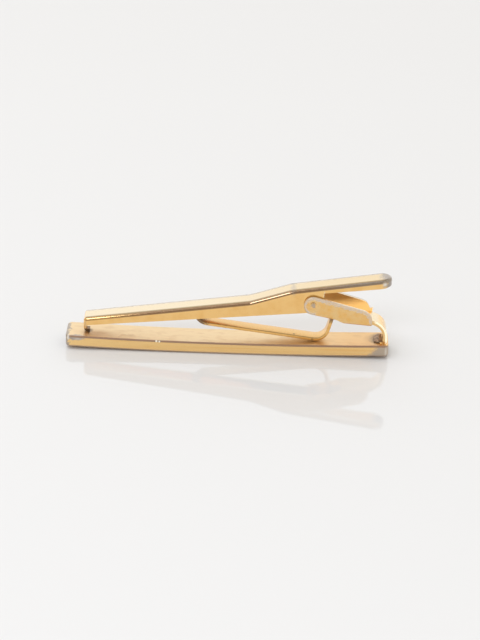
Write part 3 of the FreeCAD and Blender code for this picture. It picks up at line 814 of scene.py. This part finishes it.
def tidy_mesh():
    """Merges doubled points and turns all faces outwards."""
    bpy.ops.mesh.select_all(action="SELECT")
    bpy.ops.mesh.remove_doubles(threshold=MERGE_DISTANCE)
    bpy.ops.mesh.normals_make_consistent(inside=False)


def close_piece(piece, smooth_degrees):
    """Leaves edit mode with a tidy mesh, shaded smooth over edges up to this angle."""
    tidy_mesh()
    bpy.ops.object.mode_set(mode="OBJECT")
    bpy.ops.object.shade_smooth_by_angle(angle=math.radians(smooth_degrees))
    bpy.ops.object.select_all(action="DESELECT")
    print(piece.name, len(piece.data.vertices), "points", [round(x / MM, 2) for x in piece.dimensions], "mm")
    return piece


print("modelling helpers ready")

# %% [markdown]
# The leaf spring is a strip of rolled sheet, bent three times. One face, the strip's cross-section, is
# pulled along the strip's own path here: straight stretches are extruded and the bends are spun about their
# centres. A curve with a bevel would be quicker, but spun bends are true arcs, like those of the CAD piece.
# The long edges are then rounded, as the rolls leave them. On the real clip, the strip's left end goes with
# the lever when it opens and its hook stays on the bracket. Here the strip is one fixed piece.

# %% Spring
SPRING_SHEET = 0.56 * MM
SPRING_WIDTH = 2.6 * MM
SPRING_EDGE = 0.1 * MM
SPRING_TAIL = Vector((-5.8, 0, 7.966)) * MM
SPRING_RISER = Vector((0, 0, -0.5)) * MM
SPRING_TAIL_BEND = Vector((-3.37, 0, 7.466)) * MM
SPRING_LONG_RUN = Vector((18.9955, 0, -2.297)) * MM
SPRING_BELLY = Vector((15.61, 0, 5.04)) * MM
SPRING_RISE = Vector((0.798, 0, 2.891)) * MM
SPRING_HOOK = Vector((19.3, 0, 7.1323)) * MM
SPRING_LAP = Vector((3.25, 0, -0.25)) * MM
SPRING_TURNS = (83.11, 81.46, -78.97)
SPRING_RUN_STEPS = 16
SPRING_CORNER_DEGREES = 50
SPRING_SMOOTH_DEGREES = 40


def add_spring():
    bpy.ops.mesh.primitive_plane_add(size=1, location=SPRING_TAIL)
    bpy.context.object.scale = (SPRING_SHEET, SPRING_WIDTH, 1)
    strip = start_piece("spring_strip")
    tail_turn, belly_turn, hook_turn = SPRING_TURNS
    grow(SPRING_RISER)
    swing(SPRING_TAIL_BEND, tail_turn)
    for _ in range(SPRING_RUN_STEPS):
        grow(SPRING_LONG_RUN / SPRING_RUN_STEPS)
    swing(SPRING_BELLY, belly_turn)
    grow(SPRING_RISE)
    swing(SPRING_HOOK, hook_turn)
    grow(SPRING_LAP)
    tidy_mesh()
    bpy.ops.mesh.select_all(action="DESELECT")
    bpy.ops.mesh.edges_select_sharp(sharpness=math.radians(SPRING_CORNER_DEGREES))
    bpy.ops.mesh.bevel(offset=SPRING_EDGE, segments=3)
    return close_piece(strip, SPRING_SMOOTH_DEGREES)


strip = add_spring()

# %% [markdown]
# The spring's finish is a thin gold over rolled metal, with the grain of the rolls along the strip. Its tail
# end under the lever and its hook end in the bracket are painted brown as painted shade, its upper edge
# carries a painted dark reflection, and two specks are brown with tarnish. Its top is painted a deeper gold
# as painted shade under the lever, and its underside is paler. The grain could come from a picture of
# brushed metal. Noise that is drawn out along the strip does without one.

# %% Spring finish
SPRING_SPECKS = (
    Spot((11.85, -0.8, 3.46), 0.2, 0.12, strength=0.8),
    Spot((15.1, -1.3, 2.75), 0.2, 0.18, strength=0.6),
)
TAIL_SHADE = (-3.3, -4.3)
HOOK_SHADE = (5.9, 6.5)
HOOK_START = (16, 17)
SPRING_LINE_DEPTH = 0.0012


def spring_shade_and_specks(tree, place, x, z, out, up):
    """The share of brown on the strip: painted shade at the ends, a painted dark reflection on the upper
    edge, and tarnish specks.
    """
    ragged = spread(tree, grain(tree, place, 0.25, detail=5.0), -1.0, 1.0)
    # The tail end under the lever is painted brown as painted shade.
    tail = both(tree, fade(tree, sums(tree, "ADD", x, ragged), *TAIL_SHADE), 0.9)
    # The hook end in the bracket is painted brown as painted shade.
    ragged_height = sums(tree, "ADD", z, both(tree, ragged, 0.3))
    hook = both(tree, fade(tree, ragged_height, *HOOK_SHADE), fade(tree, x, *HOOK_START), 0.8)
    # The brown line on the upper edge is a painted dark reflection.
    slope = both(tree, fade(tree, up, 0.25, 0.5), fade(tree, up, 0.97, 0.85))
    upper_edge = both(tree, slope, fade(tree, out, -0.1, -0.3), 0.65)
    return either(tree, tail, hook, patches(tree, place, SPRING_SPECKS), upper_edge)


def spring_plate():
    material, tree = new_material("spring_plate")
    place, x, _, z = place_in_mm(tree)
    _, out, up = facing(tree)
    lines = grain(tree, place, 0.1, stretch=(20, 1, 1))
    cloud = grain(tree, place, 0.8, stretch=(3, 1, 1))
    shade_and_specks = spring_shade_and_specks(tree, place, x, z, out, up)
    colour = tint(tree, fade(tree, cloud, 0.35, 0.75), GOLD, DEEP_GOLD)
    # The top is painted a deeper gold as painted shade under the lever; the underside is paler.
    colour = tint(tree, fade(tree, up, 0.5, 0.9), colour, STRIP_GOLD)
    colour = tint(tree, fade(tree, up, *FACING_DOWN), colour, CREAM_GOLD)
    colour = tint(tree, shade_and_specks, colour, SHADE_AND_TARNISH)
    roughness = between(tree, shade_and_specks, spread(tree, lines, 0.24, 0.36), 0.45)
    plate_shader(tree, colour, roughness, relief(tree, lines, SPRING_LINE_DEPTH), lacquer=0.15)
    return material


strip.data.materials.append(spring_plate())
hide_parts("leaf_spring")
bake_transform(strip)
print("finished spring_strip")

# %% [markdown]
# Solder runs into a corner and sets with a hollow front and a wavy edge. The fillet at the strap's foot
# starts as a block in its corner. The edge that faces out is bevelled hollow, the block is cut into slices,
# and its points are pushed about a little and smoothed again. One bead of it has run out at the near end
# and still shines. Solder could be sculpted by hand. A push with a fixed seed gives the same waves every
# time.

# %% Solder
SOLDER_SLICES = 14
SOLDER_HEIGHT = 0.5 * MM
SOLDER_HALF_LENGTH = 1.8 * MM
SOLDER_SLOPE = 0.4 * MM
SOLDER_HOLLOW = 0.4 * MM
SOLDER_HOLLOW_PROFILE = 0.1
SOLDER_END = 0.95 * SOLDER_HALF_LENGTH
SOLDER_END_SHRINK = (0.45, 0.85, 0.35)
SOLDER_WAVE = 0.1 * MM
BEAD_PLACE = Vector((27.3, -2.25, 2.86)) * MM
BEAD_RADIUS = 0.25 * MM
SMOOTH_ALL = 180


def pick(piece, wanted):
    """Selects the edges of a piece whose two points pass a test on their place."""
    bpy.ops.mesh.select_all(action="DESELECT")
    bpy.ops.mesh.select_mode(type="VERT")
    bpy.ops.object.mode_set(mode="OBJECT")
    for point in piece.data.vertices:
        point.select = wanted(point.co)
    bpy.ops.object.mode_set(mode="EDIT")
    bpy.ops.mesh.select_mode(type="EDGE")


def roughen(wave, seed):
    """Pushes all points of the open piece about and smooths them again."""
    bpy.ops.mesh.select_all(action="SELECT")
    bpy.ops.transform.vertex_random(offset=wave, seed=seed)
    bpy.ops.mesh.vertices_smooth(factor=0.3, repeat=2)


def add_foot_solder():
    low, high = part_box("bracket_solder")
    high.z = low.z + SOLDER_HEIGHT
    low.y, high.y = -SOLDER_HALF_LENGTH, SOLDER_HALF_LENGTH
    middle = (low + high) / 2
    bpy.ops.mesh.primitive_cube_add(size=1, location=middle)
    bpy.context.object.scale = high - low
    fillet = start_piece("foot_solder")
    pick(fillet, lambda at: at.x < middle.x and at.z > middle.z)
    bpy.ops.transform.translate(value=(SOLDER_SLOPE, 0, 0))
    bpy.ops.mesh.bevel(offset=SOLDER_HOLLOW, segments=8, profile=SOLDER_HOLLOW_PROFILE)
    for cut in range(1, SOLDER_SLICES):
        bpy.ops.mesh.select_all(action="SELECT")
        bpy.ops.mesh.bisect(plane_co=low.lerp(high, cut / SOLDER_SLICES), plane_no=ACROSS)
    pick(fillet, lambda at: abs(at.y) > SOLDER_END)
    corner = Vector((high.x, 0, low.z))
    bpy.ops.transform.resize(value=SOLDER_END_SHRINK, center_override=corner)
    roughen(SOLDER_WAVE, seed=4)
    return close_piece(fillet, SMOOTH_ALL)


def add_bead():
    bpy.ops.mesh.primitive_ico_sphere_add(subdivisions=3, radius=BEAD_RADIUS, location=BEAD_PLACE)
    bead = start_piece("solder_bead")
    roughen(BEAD_RADIUS / 4, seed=7)
    return close_piece(bead, SMOOTH_ALL)


foot_solder = add_foot_solder()
bead = add_bead()

# %% [markdown]
# The solder's finish is a dull brown that is half metal and half dirt, cloudy and uneven. Only the bead is
# bright and golden. One material serves for both, since the bead is found by its place, and also for the
# hidden tack of solder that holds the spring.

# %% Solder finish
SOLDER_BROWN = (0.64, 0.46, 0.31, 1)
SOLDER_DARK = (0.30, 0.215, 0.145, 1)
BEAD_SHINE = Spot(BEAD_PLACE / MM, 0.3, 0.08)
SOLDER_DENT_DEPTH = 0.04


def solder_metal():
    material, tree = new_material("solder_metal")
    place, _, _, _ = place_in_mm(tree)
    cloud = grain(tree, place, 0.5)
    fine = grain(tree, place, 0.12)
    bright = patch(tree, place, BEAD_SHINE)
    dull = tint(tree, fade(tree, cloud, 0.35, 0.65), SOLDER_BROWN, SOLDER_DARK)
    finish_material(
        tree,
        Base_Color=tint(tree, bright, dull, GOLD),
        Metallic=between(tree, bright, 0.5, 1.0),
        Roughness=between(tree, bright, spread(tree, fine, 0.45, 0.65), 0.15),
        Normal=relief(tree, cloud, SOLDER_DENT_DEPTH),
    )
    return material


metal = solder_metal()
for drop in (foot_solder, bead):
    drop.data.materials.append(metal)
    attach(drop, "bar")
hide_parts("bracket_solder")
nodes["spring_solder"].material_slots[0].material = metal
print("finished foot_solder, solder_bead and spring_solder")

# %% [markdown]
# The burr. The far ear looks as if it was snipped off and not filed: a torn sliver of metal stands out from
# its end. It starts as a thin block in line with the ear. The block is divided, its free end is drawn out
# row by row into uneven teeth, and the whole is roughened. Rows are easier to steer than a sculpted tear,
# and they keep the sliver thin.

# %% Burr
BURR_LOW = Vector((25.0, 2.35, 6.75)) * MM
BURR_HIGH = Vector((25.62, 2.75, 7.6)) * MM
BURR_ROWS = 4
BURR_TEETH = [tooth * MM for tooth in (0.22, 0.02, 0.16, 0.05, 0.3)]
BURR_WAVE = 0.06 * MM
BURR_NEAR = 0.01 * MM
BURR_SMOOTH_DEGREES = 30


def add_burr():
    size = BURR_HIGH - BURR_LOW
    bpy.ops.mesh.primitive_cube_add(size=1, location=(BURR_LOW + BURR_HIGH) / 2)
    bpy.context.object.scale = size
    burr = start_piece("ear_burr")
    for row in range(1, BURR_ROWS):
        bpy.ops.mesh.select_all(action="SELECT")
        bpy.ops.mesh.bisect(plane_co=BURR_LOW.lerp(BURR_HIGH, row / BURR_ROWS), plane_no=(0, 0, 1))
    for row, tooth in enumerate(BURR_TEETH):
        height = BURR_LOW.z + size.z * row / BURR_ROWS
        pick(burr, lambda at: abs(at.z - height) < BURR_NEAR and at.x > BURR_HIGH.x - BURR_NEAR)
        bpy.ops.transform.translate(value=(tooth, 0, 0))
    bpy.ops.mesh.select_all(action="SELECT")
    bpy.ops.mesh.subdivide(number_cuts=2)
    roughen(BURR_WAVE, seed=3)
    return close_piece(burr, BURR_SMOOTH_DEGREES)


burr = add_burr()
burr.data.materials.append(nodes["hinge_bracket"].material_slots[0].material)
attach(burr, "bar")

# %% [markdown]
# A fill light. The inside of the far ear lies in the shade of the near ear. A photographer lifts such a
# place with a small white card. Here a lamp stands in for the card, and light linking keeps it off the
# table and off every other piece.

# %% Fill light
FILL_LAMP = Lamp((0.05, -0.5, 0.45), (0.2, 0.2), 9.0, False)
shaded = bpy.data.collections.new("shaded_pieces")
for item in (nodes["hinge_bracket"], burr):
    shaded.objects.link(item)
fill = add_lamp("fill_lamp", FILL_LAMP)
fill.light_linking.receiver_collection = shaded
